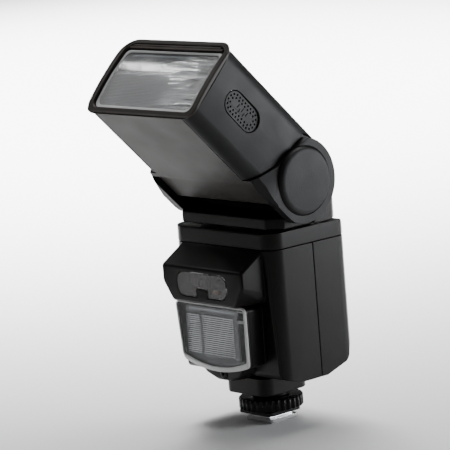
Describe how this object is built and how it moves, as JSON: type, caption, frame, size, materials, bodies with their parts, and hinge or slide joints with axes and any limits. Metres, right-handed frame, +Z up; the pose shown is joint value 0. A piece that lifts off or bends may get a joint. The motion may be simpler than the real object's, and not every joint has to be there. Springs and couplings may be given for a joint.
{
  "type": "speedlight flash",
  "caption": "Hot-shoe speedlight flash with a zoom head that tilts and swivels on an upright body with battery door, rear keys, assist lamp window and small fill flash.",
  "frame": {"origin": "centre of the underside of the hot-shoe foot plate", "axes": "+Z up through the body, -Y towards the front with the fill flash and assist lamp, +X towards the flash's left-hand side, which is on the right when it is seen from the front"},
  "size_m": [0.086, 0.0983, 0.191],
  "materials": {
    "black_casing": "fine-grained moulded black plastic",
    "soft_black": "fine-grained moulded black plastic, slightly lighter",
    "warm_cover": "satin moulded plastic",
    "bezel": "satin dark brown-black plastic",
    "clear_lens": "clear moulded acrylic with fine ribs",
    "smoked_window": "polished smoked acrylic",
    "lcd_cover": "polished clear acrylic",
    "lcd_glass": "grey-green display glass",
    "reflector_metal": "bright anodised sheet",
    "tube_glass": "clear flash tube glass",
    "steel": "plated steel",
    "brass": "plated contact",
    "ring_plastic": "knurled semi-gloss plastic",
    "board": "green circuit board laminate",
    "cell_jacket": "plain printed jacket without lettering",
    "capacitor_sleeve": "black sleeve",
    "key_rubber": "grey rubber keys",
    "switch_grey": "grey switch knob",
    "white_card": "white reflector card",
    "lamp_amber": "amber lamp block",
    "bearing_plastic": "natural acetal"
  },
  "bodies": {
    "body": {"shoe_foot": "steel", "shoe_contact": "brass", "foot_flange": "black_casing", "front_casing": "black_casing", "rear_casing": "black_casing", "top_cover": "black_casing", "sensor_window": "smoked_window", "assist_lamp": "lamp_amber", "sub_flash_window": "clear_lens", "sub_flash_reflector": "reflector_metal", "sub_flash_tube": "tube_glass", "sync_socket": "steel", "battery_box": "soft_black", "battery_1": "cell_jacket", "battery_2": "cell_jacket", "battery_3": "cell_jacket", "battery_4": "cell_jacket", "battery_contacts": "steel", "main_capacitor": "capacitor_sleeve", "circuit_board": "board", "lcd_module": "lcd_glass", "lcd_window": "lcd_cover", "key_board": "board"},
    "swivel": {"swivel_base": "black_casing", "swivel_ring": "bearing_plastic", "tilt_housing": "soft_black", "tilt_axle": "steel"},
    "head": {"head_upper_shell": "soft_black", "head_lower_shell": "warm_cover", "ear_cover_left": "soft_black", "ear_cover_right": "soft_black", "pivot_cap_left": "soft_black", "pivot_cap_right": "soft_black", "side_grille_left": "black_casing", "side_grille_right": "black_casing", "lens_bezel": "bezel", "fresnel_lens": "clear_lens", "light_funnel": "reflector_metal", "head_bulkhead": "soft_black", "zoom_motor": "steel", "guide_rod": "steel"},
    "zoom_carriage": {"zoom_carriage": "soft_black", "flash_reflector": "reflector_metal", "flash_tube": "tube_glass"},
    "lead_screw": {"lead_screw": "steel"},
    "wide_panel": {"wide_panel": "clear_lens"},
    "bounce_card": {"bounce_card": "white_card"},
    "lock_ring": {"lock_ring": "ring_plastic"},
    "clamp_plate": {"clamp_plate": "soft_black"},
    "lock_pin": {"lock_pin": "steel"},
    "battery_door": {"battery_door": "black_casing"},
    "door_latch": {"door_latch": "soft_black"},
    "mode_key": {"mode_key": "key_rubber"},
    "test_key": {"test_key": "key_rubber"},
    "zoom_key": {"zoom_key": "key_rubber"},
    "minus_key": {"minus_key": "key_rubber"},
    "plus_key": {"plus_key": "key_rubber"},
    "power_switch": {"power_switch": "switch_grey"}
  },
  "joints": [
    {"name": "head_swivel", "type": "hinge", "parent": "body", "child": "swivel", "pos_m": [0, 0, 0.0987], "axis": [0, 0, 1], "range_deg": [-90, 180]},
    {"name": "head_tilt", "type": "hinge", "parent": "swivel", "child": "head", "pos_m": [0, -0.0054, 0.1213], "axis": [-1, 0, 0], "range_deg": [-45, 45]},
    {"name": "zoom_slide", "type": "slide", "parent": "head", "child": "zoom_carriage", "axis": [0, -0.7071, 0.7071], "range_m": [-0.017, 0]},
    {"name": "lead_screw_turn", "type": "hinge", "parent": "head", "child": "lead_screw", "pos_m": [-0.032, -0.04641, 0.151], "axis": [0, -0.7071, 0.7071], "range_deg": [-1081, 0]},
    {"name": "wide_panel_slide", "type": "slide", "parent": "head", "child": "wide_panel", "axis": [0, -0.7071, 0.7071], "range_m": [0, 0.036]},
    {"name": "bounce_card_slide", "type": "slide", "parent": "head", "child": "bounce_card", "axis": [0, -0.7071, 0.7071], "range_m": [0, 0.04]},
    {"name": "lock_ring_turn", "type": "hinge", "parent": "body", "child": "lock_ring", "pos_m": [0, 0, 0.0091], "axis": [0, 0, 1], "range_deg": [0, 270]},
    {"name": "clamp_slide", "type": "slide", "parent": "body", "child": "clamp_plate", "axis": [0, 0, -1], "range_m": [0, 0.00125]},
    {"name": "lock_pin_slide", "type": "slide", "parent": "body", "child": "lock_pin", "axis": [0, 0, -1], "range_m": [0, 0.00155]},
    {"name": "battery_door_swing", "type": "hinge", "parent": "body", "child": "battery_door", "pos_m": [-0.0356, 0.017, 0.047], "axis": [0, 0, -1], "range_deg": [0, 110]},
    {"name": "door_latch_slide", "type": "slide", "parent": "battery_door", "child": "door_latch", "axis": [0, 1, 0], "range_m": [0, 0.003]},
    {"name": "mode_key_press", "type": "slide", "parent": "body", "child": "mode_key", "axis": [0, -1, 0], "range_m": [0, 0.0008], "stiffness_N_per_m": 500},
    {"name": "test_key_press", "type": "slide", "parent": "body", "child": "test_key", "axis": [0, -1, 0], "range_m": [0, 0.0008], "stiffness_N_per_m": 500},
    {"name": "zoom_key_press", "type": "slide", "parent": "body", "child": "zoom_key", "axis": [0, -1, 0], "range_m": [0, 0.0008], "stiffness_N_per_m": 500},
    {"name": "minus_key_press", "type": "slide", "parent": "body", "child": "minus_key", "axis": [0, -1, 0], "range_m": [0, 0.0008], "stiffness_N_per_m": 500},
    {"name": "plus_key_press", "type": "slide", "parent": "body", "child": "plus_key", "axis": [0, -1, 0], "range_m": [0, 0.0008], "stiffness_N_per_m": 500},
    {"name": "power_switch_slide", "type": "slide", "parent": "body", "child": "power_switch", "axis": [1, 0, 0], "range_m": [0, 0.005]}
  ],
  "couplings": [
    {"joint": "lead_screw_turn", "follows": "zoom_slide", "rad_per_m": 1108.8},
    {"joint": "clamp_slide", "follows": "lock_ring_turn", "m_per_rad": 0.00025465},
    {"joint": "lock_pin_slide", "follows": "lock_ring_turn", "m_per_rad": 0.00031831}
  ]
}
